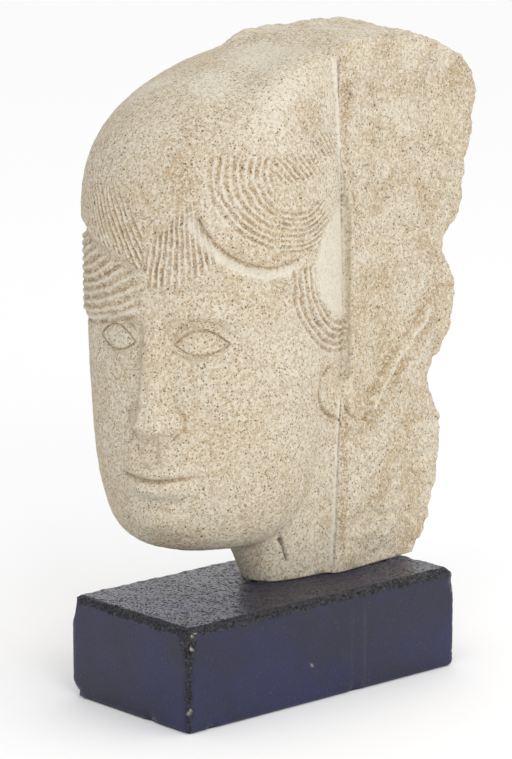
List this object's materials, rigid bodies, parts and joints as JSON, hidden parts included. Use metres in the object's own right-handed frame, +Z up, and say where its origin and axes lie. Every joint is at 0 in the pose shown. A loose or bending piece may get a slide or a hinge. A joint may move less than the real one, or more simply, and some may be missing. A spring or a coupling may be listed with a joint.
{
  "type": "sandstone head sculpture",
  "caption": "Carved stone head in low relief, dressed in front and left rough behind, resting on a dark painted plinth block.",
  "frame": {"origin": "centre of the plinth's underside", "axes": "+Z up, Y along the plinth's long side, the head looks towards -Y and a little towards +X"},
  "size_m": [0.1314, 0.2576, 0.363],
  "materials": {
    "sandstone": "rough, granular, unpolished",
    "painted_block": "dark satin paint, worn and chipped at the edges"
  },
  "bodies": {
    "root": {"sandstone_head": "sandstone", "plinth": "painted_block"}
  },
  "joints": []
}
